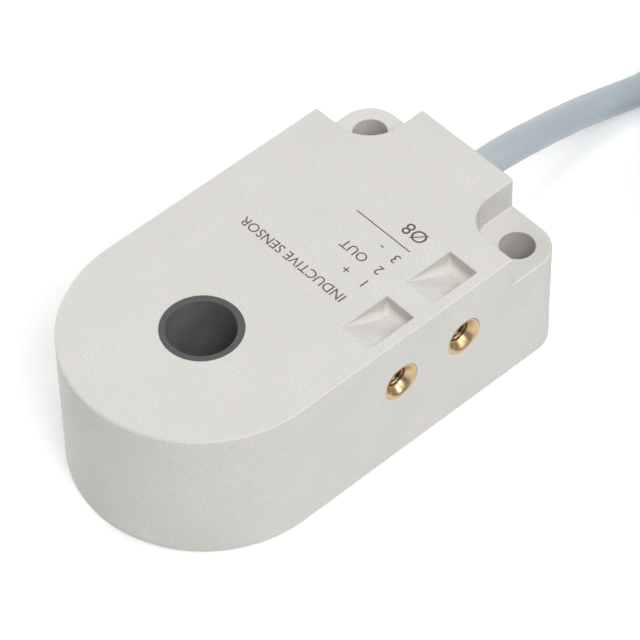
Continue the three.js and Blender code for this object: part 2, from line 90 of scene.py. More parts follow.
CABLE_RADIUS = 2.0
CABLE_LENGTH = 2000.0
CONDUCTOR_RADIUS = 0.6
TIP_LENGTH = 5.0
LAYERS = 3
LAYER_RISE = 4.05
COIL_INNER_RADIUS = 13.0
COIL_CENTRELINE_MARGIN = 2.15
CLIMB_ANGLE = 60.0
TIE = {"width": 2.6, "thickness": 0.9, "head_width": 4.4, "head_depth": 3.0, "head_height": 4.6}
TIE_ANGLES = {"cable_tie_1": 45.0, "cable_tie_2": 300.0}
TAIL = {"end_radius": 24.4, "end_angle": 250.0, "whole_turns": 2}
CONDUCTOR_FAN = {"turned": 80.0, "first_offset": 0.3, "drift": 1.5, "spread": 1.3}

# The free cable from its end inside the housing to the stored coil, as in the CAD model.
LEAD_ROUTE = [
    (0, 20.8, 14.4),
    (0, 23, 14.4),
    (0, 25.2, 14.4),
    (0, 27.4, 14.4),
    (0, 29.4, 14.4),
    (-0.1, 31.1, 14.25),
    (-0.25, 33, 13.95),
    (-0.5, 35.2, 13.45),
    (-0.8, 37.4, 12.75),
    (-1.15, 39.7, 11.95),
    (-1.5, 41.9, 11.05),
    (-1.9, 44.1, 10.1),
    (-2.35, 46.3, 9.1),
    (-2.7, 48.5, 8.1),
    (-3.1, 50.7, 7.1),
    (-3.4, 52.9, 6.15),
    (-3.55, 55.1, 5.25),
    (-3.6, 57.3, 4.5),
    (-3.55, 59.3, 3.9),
    (-3.4, 61.1, 3.45),
]
# Beyond the CAD tube it lies on the floor and joins the first turn of the coil.
LANDING_ROUTE = [
    (-3.2, 63.2, 3.1),
    (-3.15, 65.8, 2.93),
    (-3.35, 69.3, 2.9),
    (-3.85, 73.4, 2.9),
    (-4.5, 77.6, 2.9),
]
COIL_ENTRY_ANGLE = 180.0

PRINT_HEIGHT = 0.012
PRINT_START_X = 7.8
PRINT_KIND_Y = 2.6
PRINT_FIRST_ROW_Y = 6.0
PRINT_ROW_PITCH = 2.6
PRINT_USE_OFFSET = 2.6
PRINT_CAP_HEIGHT = 1.3
PRINT_RULE = {"y": 12.6, "length": 9.0, "width": 0.15}
PRINT_BORE_SIZE = {"y": 15.8, "cap_height": 1.8}

CAMERA = {"azimuth": 48.32, "elevation": 49.13, "roll": 1.2, "distance": 447.2, "lens": 214.6}
CAMERA_TARGET = (1.64, 3.9, 9.67)

# ------------------------------------------------------------------ places from the frame, in mm


def box_mm(node):
    low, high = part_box(node)
    return low / MM, high / MM


shell_low, shell_high = box_mm("housing_shell")
HALF_WIDTH = shell_high.x
FRONT_Y = shell_low.y
BACK_Y = shell_high.y
HEIGHT = shell_high.z
sleeve_low, sleeve_high = box_mm("bore_sleeve")
SLEEVE_RADIUS = (sleeve_high.x - sleeve_low.x) / 2
BORE_Y = (sleeve_low.y + sleeve_high.y) / 2
INSERT_BOXES = {name: box_mm(name) for name in ("insert_front", "insert_rear")}
grommet_low, grommet_high = box_mm("cable_grommet")
EXIT_Z = (grommet_low.z + grommet_high.z) / 2
coil_low, coil_high = box_mm("cable_coil")
COIL_X = (coil_low.x + coil_high.x) / 2
COIL_Y = (coil_low.y + coil_high.y) / 2
COIL_OUTER_RADIUS = (coil_high.x - coil_low.x) / 2 - COIL_CENTRELINE_MARGIN
COIL_FIRST_Z = TIE["thickness"] + CABLE_RADIUS
COIL_TOP_Z = COIL_FIRST_Z + LAYER_RISE * (LAYERS - 1) + CABLE_RADIUS


# ------------------------------------------------------------------ camera


def camera_axes():
    azimuth = math.radians(CAMERA["azimuth"])
    elevation = math.radians(CAMERA["elevation"])
    back = Vector(
        (
            math.sin(azimuth) * math.cos(elevation),
            -math.cos(azimuth) * math.cos(elevation),
            math.sin(elevation),
        )
    )
    right = Vector((math.cos(azimuth), math.sin(azimuth), 0))
    up = back.cross(right)
    roll = Matrix.Rotation(math.radians(-CAMERA["roll"]), 3, back)
    return roll @ right, roll @ up, back


def add_camera():
    right, up, back = camera_axes()
    data = bpy.data.cameras.new("camera")
    data.sensor_width = 36
    data.lens = CAMERA["lens"]
    data.clip_start = 0.01
    data.clip_end = 20
    camera = bpy.data.objects.new("camera", data)
    bpy.context.scene.collection.objects.link(camera)
    camera.matrix_world = Matrix((right, up, back)).transposed().to_4x4()
    camera.location = (Vector(CAMERA_TARGET) + back * CAMERA["distance"]) * MM
    bpy.context.scene.camera = camera


# ------------------------------------------------------------------ mesh helpers


def add_mesh(name, vertices, faces):
    """A mesh object from points in millimetres."""
    mesh = bpy.data.meshes.new(name)
    mesh.from_pydata([Vector(v) * MM for v in vertices], [], faces)
    mesh.validate()
    made = bpy.data.objects.new(name, mesh)
    bpy.context.scene.collection.objects.link(made)
    face_outwards(mesh)
    return made


def face_outwards(mesh):
    work = bmesh.new()
    work.from_mesh(mesh)
    bmesh.ops.remove_doubles(work, verts=work.verts, dist=1e-8)
    bmesh.ops.recalc_face_normals(work, faces=work.faces)
    work.to_mesh(mesh)
    work.free()


def apply_modifiers(target):
    """Replaces the object's mesh by what its modifiers make of it."""
    graph = bpy.context.evaluated_depsgraph_get()
    made = bpy.data.meshes.new_from_object(target.evaluated_get(graph))
    target.modifiers.clear()
    target.data = made


def carve(target, cutters):
    for cutter in cutters:
        modifier = target.modifiers.new("cut", "BOOLEAN")
        modifier.operation = "DIFFERENCE"
        modifier.solver = "EXACT"
        modifier.object = cutter
    apply_modifiers(target)
    for cutter in cutters:
        bpy.data.objects.remove(cutter)


def round_edges(target, width, segments=6):
    modifier = target.modifiers.new("round", "BEVEL")
    modifier.width = width * MM
    modifier.segments = segments
    modifier.limit_method = "ANGLE"
    modifier.angle_limit = math.radians(30)
    modifier.use_clamp_overlap = False
    apply_modifiers(target)


def smooth_shading(target, angle=35):
    target.data.shade_smooth()
    target.data.set_sharp_from_angle(angle=math.radians(angle))
    modifier = target.modifiers.new("normals", "WEIGHTED_NORMAL")
    modifier.keep_sharp = True
    modifier.weight = 100
    apply_modifiers(target)
    keep_level_faces_flat(target.data)


def keep_level_faces_flat(mesh):
    """Faces square to an axis are flat walls, so their corners all take the face's own normal."""
    normals = [corner.vector.copy() for corner in mesh.corner_normals]
    for face in mesh.polygons:
        if max(abs(face.normal.x), abs(face.normal.y), abs(face.normal.z)) > 0.9999:
            for corner in face.loop_indices:
                normals[corner] = face.normal.copy()
    mesh.normals_split_custom_set(normals)


def mark_faces(target, name, chosen):
    """Stores 1 on the chosen faces and 0 on the others, for the material to read."""
    layer = target.data.attributes.new(name, "FLOAT", "FACE")
    for face in target.data.polygons:
        layer.data[face.index].value = 1.0 if chosen(face) else 0.0


def finish_piece(piece, node, material, slot=None, *more_nodes):
    """The piece stands for CAD nodes, rides on the root body and takes its material."""
    piece.data.materials.clear()
    piece.data.materials.append(material)
    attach(piece, "root")
    if node:
        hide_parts(node, *more_nodes)
    return piece


# ------------------------------------------------------------------ outlines and solids


def outline(corners, fineness=5.0):
    """A closed outline through (x, y, radius) corners; a radius turns a corner into an arc."""
    points = []

    def add_point(point):
        if not any((point - other).length < 1e-5 for other in points):
            points.append(point)

    for index, (x, y, radius) in enumerate(corners):
        corner = Vector((x, y))
        if radius == 0:
            add_point(corner)
            continue
        to_before = (Vector(corners[index - 1][:2]) - corner).normalized()
        to_after = (Vector(corners[(index + 1) % len(corners)][:2]) - corner).normalized()
        half_angle = math.acos(to_before.dot(to_after)) / 2
        tangent = radius / math.tan(half_angle)
        centre = corner + (to_before + to_after).normalized() * (radius / math.sin(half_angle))
        start = corner + to_before * tangent - centre
        end = corner + to_after * tangent - centre
        sweep = math.atan2(start.x * end.y - start.y * end.x, start.dot(end))
        steps = max(3, math.ceil(abs(sweep) * math.sqrt(radius) * fineness))
        for step in range(steps + 1):
            turned = Matrix.Rotation(sweep * step / steps, 2) @ start
            add_point(centre + turned)
    return points


def prism(name, points, bottom, top):
    count = len(points)
    vertices = [(p.x, p.y, bottom) for p in points] + [(p.x, p.y, top) for p in points]
    faces = [list(range(count)), list(range(count, 2 * count))]
    for index in range(count):
        following = (index + 1) % count
        faces.append([index, following, following + count, index + count])
    return add_mesh(name, vertices, faces)


def quarter_arc(centre, radius, from_angle, to_angle, steps=6):
    points = []
    for step in range(steps + 1):
        angle = math.radians(from_angle + (to_angle - from_angle) * step / steps)
        points.append((centre[0] + radius * math.cos(angle), centre[1] + radius * math.sin(angle)))
    return points


def turned(name, profile, place, sides=96):
    """A body turned around Z from a profile of (radius, height) points, moved and turned by a matrix.
    The profile either closes on itself or has both ends on the axis."""
    closed = profile[0][0] > 1e-6
    vertices = []
    faces = []
    rings = []
    for radius, height in profile:
        if radius < 1e-6:
            rings.append([len(vertices)])
            vertices.append(place @ Vector((0, 0, height)))
            continue
        rings.append(list(range(len(vertices), len(vertices) + sides)))
        for side in range(sides):
            angle = 2 * math.pi * side / sides
            point = Vector((radius * math.cos(angle), radius * math.sin(angle), height))
            vertices.append(place @ point)
    pairs = list(zip(rings, rings[1:]))
    if closed:
        pairs.append((rings[-1], rings[0]))
    for low, high in pairs:
        faces.extend(band(low, high, sides))
    return add_mesh(name, vertices, faces)


def band(low, high, sides):
    """The faces between two rings of vertices, either of which may be a single point."""
    faces = []
    for side in range(sides):
        following = (side + 1) % sides
        if len(low) == 1 and len(high) == 1:
            continue
        if len(low) == 1:
            faces.append([low[0], high[following], high[side]])
        elif len(high) == 1:
            faces.append([low[side], low[following], high[0]])
        else:
            faces.append([low[side], low[following], high[following], high[side]])
    return faces


def upright(x, y, z=0.0):
    return Matrix.Translation((x, y, z))


def facing_x(x, y, z):
    return Matrix.Translation((x, y, z)) @ Matrix.Rotation(math.pi / 2, 4, "Y")


def facing_y(x, y, z):
    return Matrix.Translation((x, y, z)) @ Matrix.Rotation(-math.pi / 2, 4, "X")


def lipped_hole(name, radius, bottom, top, lip, place, bottom_lip=True):
    """A tool for a round hole whose mouths are rounded outwards by a lip."""
    past = 1.0
    profile = [(0, bottom - past)]
    if bottom_lip:
        profile.append((radius + lip, bottom - past))
        profile.extend(quarter_arc((radius + lip, bottom + lip), lip, 270, 180))
    else:
        profile.append((radius, bottom))
        profile[0] = (0, bottom)
    profile.extend(quarter_arc((radius + lip, top - lip), lip, 180, 90))
    profile.extend([(radius + lip, top + past), (0, top + past)])
    return turned(name, profile, place)


# ------------------------------------------------------------------ housing shell


def body_corners():
    return [
        (-HALF_WIDTH, FRONT_Y, HALF_WIDTH),
        (HALF_WIDTH, FRONT_Y, HALF_WIDTH),
        (HALF_WIDTH, BACK_Y, BACK_CORNER_RADIUS),
        (-HALF_WIDTH, BACK_Y, BACK_CORNER_RADIUS),
    ]


def interior_corners(inset, neck_half_width, neck_end_y, boss=True):
    side = HALF_WIDTH - inset
    shoulder_y = NECK["start_y"] - (inset - WALL["side"])
    corners = [(-side, FRONT_Y + inset, side), (side, FRONT_Y + inset, side)]
    right = side
    if boss:
        right = INSERT_BOSS["inner_x"]
        corners += [(side, INSERT_BOSS["front_y"], 0), (right, INSERT_BOSS["front_y"], 0)]
    corners += [
        (right, shoulder_y, 0),
        (neck_half_width, shoulder_y, 0),
        (neck_half_width, neck_end_y, 0),
        (-neck_half_width, neck_end_y, 0),
        (-neck_half_width, shoulder_y, 0),
        (-side, shoulder_y, 0),
    ]
    return corners


def ear_pocket(side):
    past = 2.0
    corners = [
        (side * EAR_WALL["x"], EAR_WALL["y"], EAR_WALL["fillet"]),
        (side * (HALF_WIDTH + past), EAR_WALL["y"], 0),
        (side * (HALF_WIDTH + past), BACK_Y + past, 0),
        (side * EAR_WALL["x"], BACK_Y + past, 0),
    ]
    return prism("ear_pocket", outline(corners), EAR_SEAT_Z, HEIGHT + past)


def pocket_section(y, depth):
    """One cross-section of a wedge pocket's tool: rounded mouth edges above, rounded floor below."""
    past = 1.0
    half = (POCKET["high_x"] - POCKET["low_x"]) / 2
    middle = (POCKET["high_x"] + POCKET["low_x"]) / 2
    lip = min(POCKET_LIP, 0.6 * depth)
    fillet = min(POCKET_FLOOR_FILLET, 0.6 * depth)
    floor = HEIGHT - depth
    right = [(half + lip, HEIGHT + past)]
    right += quarter_arc((half + lip, HEIGHT - lip), lip, 90, 180)
    right += quarter_arc((half - fillet, floor + fillet), fillet, 0, -90)
    section = right + [(-x, z) for x, z in reversed(right)]
    return [(middle + x, y, z) for x, z in section]


def wedge_pocket(insert_y):
    """The floor slopes down from the top face to its full depth at the wall on the cable side."""
    front = insert_y - POCKET["towards_front"]
    back = insert_y + POCKET["towards_back"]
    slope = POCKET["depth"] / (back - front)
    stations = []
    for step in range(24):
        y = front + (back - POCKET_FLOOR_FILLET - front) * step / 23
        stations.append((y, max(0.004, slope * (y - front))))
    deep = slope * (back - POCKET_FLOOR_FILLET - front)
    fillet = POCKET_FLOOR_FILLET
    for y, rise in quarter_arc((back - fillet, fillet), fillet, -90, 0)[1:]:
        stations.append((y, deep - rise))
    for y, fall in quarter_arc((back + POCKET_LIP, -POCKET_LIP), POCKET_LIP, 180, 90):
        stations.append((y + 1e-3, max(0.004, -fall)))
    sections = [pocket_section(y, depth) for y, depth in stations]
    count = len(sections[0])
    vertices = [point for section in sections for point in section]
    rings = [list(range(i * count, (i + 1) * count)) for i in range(len(sections))]
    faces = [rings[0], rings[-1]]
    for low, high in zip(rings, rings[1:]):
        faces.extend(band(low, high, count))
    return add_mesh("wedge_pocket", vertices, faces)


def insert_place(name):
    low, high = INSERT_BOXES[name]
    return high.x, (low.y + high.y) / 2, (low.z + high.z) / 2, (high.z - low.z) / 2, high.x - low.x


def housing_tools():
    interior = interior_corners(WALL["side"], NECK["half_width"], BACK_Y - WALL["back"])
    recess = interior_corners(
        RECESS["wall"], NECK["half_width"] + RECESS["neck_extra"], BACK_Y - RECESS["back"], boss=False
    )
    tools = [
        lipped_hole("sleeve_hole", SLEEVE_RADIUS + 0.01, 0, HEIGHT, 0.05, upright(0, BORE_Y)),
        prism("interior", outline(interior), -1, HEIGHT - WALL["roof"]),
        prism("recess", outline(recess), -1, RECESS["depth"]),
    ]
    for side in (-1, 1):
        place = upright(side * EAR_HOLE["x"], BACK_Y - EAR_HOLE["from_back"])
        tools.append(lipped_hole("screw_hole", EAR_HOLE["radius"], 0, EAR_SEAT_Z, EAR_HOLE["lip"], place))
    for name in INSERT_BOXES:
        x, y, z, radius, length = insert_place(name)
        place = facing_x(x, y, z)
        tools.append(lipped_hole("insert_hole", radius + 0.01, -length - 0.1, 0, 0.04, place, False))
        tools.append(wedge_pocket(y))
    place = facing_y(0, BACK_Y, EXIT_Z)
    hole_radius, hole_depth = CABLE_HOLE["radius"], CABLE_HOLE["depth"]
    tools.append(lipped_hole("cable_hole", hole_radius, -hole_depth, 0, 0.1, place, False))
    return tools


def build_housing(material):
    shell = prism("housing", outline(body_corners()), 0, HEIGHT)
    carve(shell, [ear_pocket(-1), ear_pocket(1)])
    round_edges(shell, EDGE_ROUNDING)
    carve(shell, housing_tools())
    smooth_shading(shell, 18)
    # Marks the rounded edge faces for a painted highlight: the housing material gives them a lighter base
    # colour.
    mark_faces(shell, "painted_edge_highlight", lambda face: 0.25 < abs(face.normal.z) < 0.9)
    return finish_piece(shell, "housing_shell", material, "housing_plastic")


def build_base_cover(material):
    corners = interior_corners(
        RECESS["wall"] + COVER_CLEARANCE,
        NECK["half_width"] + RECESS["neck_extra"] - COVER_CLEARANCE,
        BACK_Y - RECESS["back"] - COVER_CLEARANCE,
        boss=False,
    )
    cover = prism("base_plate", outline(corners), 0.03, COVER_THICKNESS)
    round_edges(cover, 0.12, segments=2)
    carve(cover, [lipped_hole("bore", SLEEVE_RADIUS + 0.05, 0, COVER_THICKNESS, 0.05, upright(0, BORE_Y))])
    smooth_shading(cover)
    return finish_piece(cover, "base_cover", material, "cover_plastic")


# ------------------------------------------------------------------ bore sleeve, inserts, grommet


def build_sleeve(material):
    lip = SLEEVE_LIP
    edge = 0.06
    profile = [(BORE_RADIUS, HEIGHT / 2)]
    profile += quarter_arc((BORE_RADIUS + lip, lip), lip, 180, 270)
    profile += quarter_arc((SLEEVE_RADIUS - edge, edge), edge, 270, 360, 3)
    profile += [(SLEEVE_RADIUS, HEIGHT / 2)]
    profile += quarter_arc((SLEEVE_RADIUS - edge, HEIGHT - edge), edge, 0, 90, 3)
    profile += quarter_arc((BORE_RADIUS + lip, HEIGHT - lip), lip, 90, 180)
    sleeve = turned("sleeve", profile, upright(0, BORE_Y), sides=128)
    smooth_shading(sleeve, 50)
    # Marks the bore's inner wall for painted light: the sleeve material gives it a much lighter base
    # colour.
    wall_reach = (BORE_RADIUS + 0.01) * MM
    axis = Vector((0, BORE_Y)) * MM
    mark_faces(sleeve, "bore_wall_painted_light", lambda face: (face.center.xy - axis).length < wall_reach)
    return finish_piece(sleeve, "bore_sleeve", material, "sleeve_plastic")


def knurled(radius, angle, amount):
    """The radius of a knurled band: a row of small rounded teeth."""
    wave = abs(math.sin(KNURL["teeth"] * angle / 2))
    return radius - amount * KNURL["depth"] * (1 - wave)


def insert_profile(radius, length):
    """Stations down the insert as (radius, height, knurl amount, thread amount)."""
    rim = INSERT["rim_width"]
    thread = INSERT["thread_radius"]
    depth = INSERT["mouth_depth"]
    mouth = radius - rim - 0.06
    stations = [
        (radius - 0.02, -length, 0, 0),
        (radius, -length + 0.1, 1, 0),
        (radius, -length * 0.62, 1, 0),
        (radius - 0.4, -length * 0.57, 0, 0),
        (radius - 0.4, -length * 0.4, 0, 0),
        (radius, -length * 0.35, 1, 0),
        (radius, -0.05, 1, 0),
        (radius - 0.05, 0, 1, 0),
        (radius - rim, 0, 0, 0),
        (mouth, -0.02, 0, 0),
    ]
    flare_steps = 8
    for step in range(1, flare_steps + 1):
        along = step / flare_steps
        dished = along**0.8
        stations.append((mouth + (thread - mouth) * dished, -0.02 - depth * along, 0, 0))
    thread_steps = 88
    start = -0.02 - depth
    end = -length + 0.12
    for step in range(1, thread_steps + 1):
        along = step / thread_steps
        stations.append((thread, start + (end - start) * along, 0, min(1.0, along * 12)))
    stations.append((thread + 0.08, -length, 0, 0))
    return stations


def build_insert(name, piece_name, material):
    x, y, z, radius, length = insert_place(name)
    place = facing_x(x, y, z)
    sides = 160
    stations = insert_profile(radius, length)
    vertices = []
    for base, height, knurl, thread in stations:
        for side in range(sides):
            angle = 2 * math.pi * side / sides
            turn = (height / INSERT["thread_pitch"] - angle / (2 * math.pi)) % 1
            crest = abs(2 * turn - 1)
            here = knurled(base, angle, knurl) - thread * INSERT["thread_depth"] * crest
            vertices.append(place @ Vector((here * math.cos(angle), here * math.sin(angle), height)))
    rings = [list(range(i * sides, (i + 1) * sides)) for i in range(len(stations))]
    faces = []
    for low, high in zip(rings, rings[1:] + rings[:1]):
        faces.extend(band(low, high, sides))
    insert = add_mesh(piece_name, vertices, faces)
    smooth_shading(insert, 40)
    # Marks the threaded part of the hole for painted shade: the brass material darkens it.
    thread_top = (x - INSERT["mouth_depth"] - 0.15) * MM
    thread_reach = (INSERT["thread_radius"] + 0.05) * MM
    axis = Vector((y, z)) * MM
    mark_faces(
        insert,
        "thread",
        lambda face: face.center.x < thread_top and (face.center.yz - axis).length < thread_reach,
    )
    return finish_piece(insert, name, material, "insert_brass")


def build_grommet(material):
    collar = grommet_high.y - BACK_Y
    outer = (grommet_high.z - grommet_low.z) / 2
    inner_y = grommet_low.y - BACK_Y
    body = GROMMET_BODY_RADIUS
    hole = CABLE_RADIUS + 0.02
    profile = [(hole, inner_y), (body, inner_y), (body, 0.02), (outer, 0.02)]
    profile += quarter_arc((outer - 0.35, collar - 0.35), 0.35, 0, 90)
    profile += quarter_arc((hole + 0.25, collar - 0.25), 0.25, 90, 180)
    grommet = turned("grommet", profile, facing_y(0, BACK_Y, EXIT_Z), sides=72)
    smooth_shading(grommet, 50)
    return finish_piece(grommet, "cable_grommet", material, "grommet_rubber")


# ------------------------------------------------------------------ cable


def smooth_through(points, step):
    """Points about one step apart on a smooth curve through the given ones."""
    points = [Vector(p) for p in points]
    padded = [2 * points[0] - points[1], *points, 2 * points[-1] - points[-2]]
    made = []
    for a, b, c, d in zip(padded, padded[1:], padded[2:], padded[3:]):
        count = max(1, round((c - b).length / step))
        for index in range(count):
            t = index / count
            made.append(
                0.5
                * (
                    2 * b
                    + (c - a) * t
                    + (2 * a - 5 * b + 4 * c - d) * t * t
                    + (3 * b - a - 3 * c + d) * t * t * t
                )
            )
    return [*made, points[-1]]


def on_coil(angle, radius, z):
    """A point at an angle in degrees around the stored coil; the coil is very slightly oval."""
    oval = 0.4 * math.cos(math.radians(2 * (angle - 15)))
    turned_by = math.radians(angle)
    reach = radius + oval
    return Vector((COIL_X + reach * math.cos(turned_by), COIL_Y + reach * math.sin(turned_by), z))


def ease(t):
    t = min(1.0, max(0.0, t))
    return t * t * (3 - 2 * t)


def path_length(points):
    return sum((b - a).length for a, b in zip(points, points[1:]))


def layer_turns(start_angle, start_radius, end_radius, turned, level):
    """One layer of clockwise turns, lifted from the layer below over its first part."""
    step = 7.5
    count = math.ceil(turned / step)
    points = []
    for index in range(count):
        along = index / count
        radius = start_radius + (end_radius - start_radius) * along
        lift = ease(along * turned / CLIMB_ANGLE) if level else 1.0
        z = COIL_FIRST_Z + LAYER_RISE * (level - 1 + lift)
        points.append(on_coil(start_angle - turned * along, radius, z))
    return points


def tail_turned(start_angle):
    """How far the last, partial layer turns from its start to the jacket's cut end."""
    return (start_angle - TAIL["end_angle"]) % 360 + 360 * TAIL["whole_turns"]


def coil_turns(turns_per_layer):
    """Full layers wound inwards and outwards in turn, then the last turns and the cut end on top."""
    points = []
    angle = COIL_ENTRY_ANGLE
    turned = turns_per_layer * 360
    ends = (COIL_OUTER_RADIUS, COIL_INNER_RADIUS)
    for level in range(LAYERS):
        points += layer_turns(angle, ends[level % 2], ends[(level + 1) % 2], turned, level)
        angle -= turned
    last = tail_turned(angle)
    points += layer_turns(angle, ends[LAYERS % 2], TAIL["end_radius"], last, LAYERS)
    tail_z = COIL_FIRST_Z + LAYER_RISE * LAYERS
    points.append(on_coil(angle - last, TAIL["end_radius"], tail_z))
    return points, angle


def cable_path():
    """The centreline from inside the housing to the jacket's cut end, CABLE_LENGTH from the exit."""
    entry = tuple(on_coil(COIL_ENTRY_ANGLE, COIL_OUTER_RADIUS, COIL_FIRST_Z))
    lead = smooth_through([*LEAD_ROUTE, *LANDING_ROUTE, entry], 1.5)
    inside = BACK_Y - LEAD_ROUTE[0][1]
    one_turn_each = LAYERS * math.pi * (COIL_OUTER_RADIUS + COIL_INNER_RADIUS)
    turns_per_layer = 4.0
    for _ in range(4):
        turns, tail_start = coil_turns(turns_per_layer)
        path = lead[:-1] + turns
        turns_per_layer += (CABLE_LENGTH + inside - path_length(path)) / one_turn_each
    return path, tail_start


def curve_piece(name, points, radius, resolution=6):
    data = bpy.data.curves.new(name, "CURVE")
    data.dimensions = "3D"
    data.bevel_depth = radius * MM
    data.bevel_resolution = resolution
    data.use_fill_caps = True
    data.twist_mode = "MINIMUM"
    spline = data.splines.new("POLY")
    spline.points.add(len(points) - 1)
    for target, point in zip(spline.points, points):
        target.co = (*(point * MM), 1)
    spline.use_smooth = True
    made = bpy.data.objects.new(name, data)
    bpy.context.scene.collection.objects.link(made)
    return made


def sweep(name, points, section):
    """A body swept along points; section(distance) gives its (side, up) outline in mm."""
    count = len(points)
    up = Vector((0, 0, 1))
    vertices = []
    distance = 0.0
    for index, point in enumerate(points):
        before = points[max(index - 1, 0)]
        after = points[min(index + 1, count - 1)]
        along = (after - before).normalized()
        side = along.cross(up).normalized()
        top = side.cross(along)
        if index:
            distance += (point - points[index - 1]).length
        vertices.extend(point + side * a + top * b for a, b in section(distance))
    sides = len(vertices) // count
    rings = [list(range(i * sides, (i + 1) * sides)) for i in range(count)]
    faces = []
    for low, high in zip(rings, rings[1:]):
        faces.extend(band(low, high, sides))
    faces.extend([rings[0], rings[-1]])
    return add_mesh(name, vertices, faces)


def build_free_wire(colour, side, material):
    """A stripped conductor: out of the jacket's cut end, down onto the full layers and along them."""
    fan = CONDUCTOR_FAN
    rest_z = COIL_TOP_Z + CONDUCTOR_RADIUS
    start_z = COIL_TOP_Z + CABLE_RADIUS
    points = []
    steps = 30
    for step in range(steps):
        along = step / (steps - 1)
        angle = TAIL["end_angle"] + 3 - (fan["turned"] + 4) * along
        opening = 0.5 + 0.5 * ease(along * 4)
        wander = 0.25 * math.sin(5 * along + side)
        offset = fan["first_offset"] + side * fan["spread"] * opening + fan["drift"] * along
        z = start_z + (rest_z - start_z) * ease(along * 3.2)
        points.append(on_coil(angle, TAIL["end_radius"] + offset + wander * along, z))
    wire = curve_piece(f"conductor_{colour}", points, CONDUCTOR_RADIUS, 4)
    finish_piece(wire, f"free_wire_{colour}", material, f"{colour}_insulation")
    return wire, points


def build_tip(colour, wire_points, material):
    """The tinned end of a conductor: outer strands twisted together and dipped."""
    along = (wire_points[-1] - wire_points[-2]).normalized()
    steps = 26
    start = wire_points[-1] - along * 0.6
    points = [start + along * (TIP_LENGTH + 0.6) * step / (steps - 1) for step in range(steps)]
    strands = 6
    sides = 36

    def section(distance):
        left = TIP_LENGTH + 0.6 - distance
        closing = math.sqrt(max(0.02, 1 - max(0.0, 1 - left / 0.45) ** 2))
        outline_points = []
        for side in range(sides):
            angle = 2 * math.pi * side / sides
            lobe = abs(math.cos(strands / 2 * (angle - distance * 1.1)))
            radius = closing * (0.36 + 0.07 * lobe)
            outline_points.append((radius * math.cos(angle), radius * math.sin(angle)))
        return outline_points

    tip = sweep(f"tinned_end_{colour}", points, section)
    smooth_shading(tip, 60)
    return finish_piece(tip, f"wire_tip_{colour}", material, "tinned_copper")


# ------------------------------------------------------------------ cable ties


def tail_radius(angle, tail_start):
    """The tail's outermost distance from the coil's axis at an angle around it."""
    whole = tail_turned(tail_start)
    turned = (tail_start - angle) % 360
    turned += 360 * math.floor((whole - turned) / 360)
    return COIL_INNER_RADIUS + (TAIL["end_radius"] - COIL_INNER_RADIUS) * turned / whole


def tie_outline(tail_reach):
    """The closed line that a tie's strap follows around the turns, as (radius, height) points."""
    slack = 0.05
    half = TIE["thickness"] / 2
    low_r = COIL_INNER_RADIUS - CABLE_RADIUS - slack - half
    high_r = COIL_OUTER_RADIUS + CABLE_RADIUS + slack + half
    high_z = COIL_TOP_Z + slack + half
    over = high_z + LAYER_RISE
    bend = CABLE_RADIUS
    corners = [
        (low_r, half, bend),
        (high_r, half, bend),
        (high_r, high_z, bend),
        (tail_reach + CABLE_RADIUS, over, bend),
        (low_r, over, bend),
    ]
    return outline(corners, 6)


def build_tie(node, piece_name, material, tail_start):
    angle = math.radians(TIE_ANGLES[node])
    radial = Vector((math.cos(angle), math.sin(angle), 0))
    centre = Vector((COIL_X, COIL_Y, 0))
    across = Vector((-math.sin(angle), math.cos(angle), 0))
    tail_reach = tail_radius(TIE_ANGLES[node], tail_start)
    loop = [centre + radial * p.x + Vector((0, 0, p.y)) for p in tie_outline(tail_reach)]
    half_w = TIE["width"] / 2
    half_t = TIE["thickness"] / 2
    edge = 0.12
    section = [
        (-half_w, -half_t + edge),
        (-half_w + edge, -half_t),
        (half_w - edge, -half_t),
        (half_w, -half_t + edge),
        (half_w, half_t - edge),
        (half_w - edge, half_t),
        (-half_w + edge, half_t),
        (-half_w, half_t - edge),
    ]
    vertices = []
    count = len(loop)
    for index, point in enumerate(loop):
        along = (loop[(index + 1) % count] - loop[index - 1]).normalized()
        outwards = along.cross(across)
        vertices.extend(point + across * a + outwards * b for a, b in section)
    rings = [list(range(i * 8, i * 8 + 8)) for i in range(count)]
    faces = []
    for low, high in zip(rings, rings[1:] + rings[:1]):
        faces.extend(band(low, high, 8))
    strap = add_mesh(piece_name, vertices, faces)
    smooth_shading(strap, 30)
    finish_piece(strap, node, material, "tie_nylon")
    head = build_tie_head(piece_name + "_head", radial, across, centre)
    head.data.materials.append(material)
    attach(head, "root")
    return [strap, head]


def build_tie_head(name, radial, across, centre):
    """The locking head with its slot, and the cut end of the strap that stands out of it."""
    reach = COIL_OUTER_RADIUS + CABLE_RADIUS + 0.1
    middle_z = (COIL_FIRST_Z - CABLE_RADIUS + COIL_TOP_Z) / 2
    place = Matrix.Translation(centre + radial * reach + Vector((0, 0, middle_z)))
    turn = Matrix((radial, across, Vector((0, 0, 1)))).transposed().to_4x4()
    depth = TIE["head_depth"]
    wide = TIE["head_width"] / 2
    tall = TIE["head_height"] / 2
    head_corners = [(0, -wide, 0.5), (depth, -wide, 0.9), (depth, wide, 0.9), (0, wide, 0.5)]
    head = prism(name, outline(head_corners), -tall, tall)
    round_edges(head, 0.25, segments=3)
    slot_half = TIE["width"] / 2 + 0.15
    slot_corners = [(1.3, -slot_half, 0), (2.4, -slot_half, 0), (2.4, slot_half, 0), (1.3, slot_half, 0)]
    carve(head, [prism("slot", outline(slot_corners), -tall - 1, tall + 1)])
    strap_half = TIE["width"] / 2
    stub_corners = [
        (1.4, -strap_half, 0),
        (2.25, -strap_half, 0),
        (2.25, strap_half, 0),
        (1.4, strap_half, 0),
    ]
    stub = prism("stub", outline(stub_corners), -tall + 0.4, tall + 1.6)
    join_into(head, [stub])
    head.data.transform(Matrix.Scale(MM, 4) @ place @ turn @ Matrix.Scale(1 / MM, 4))
    smooth_shading(head, 35)
    return head


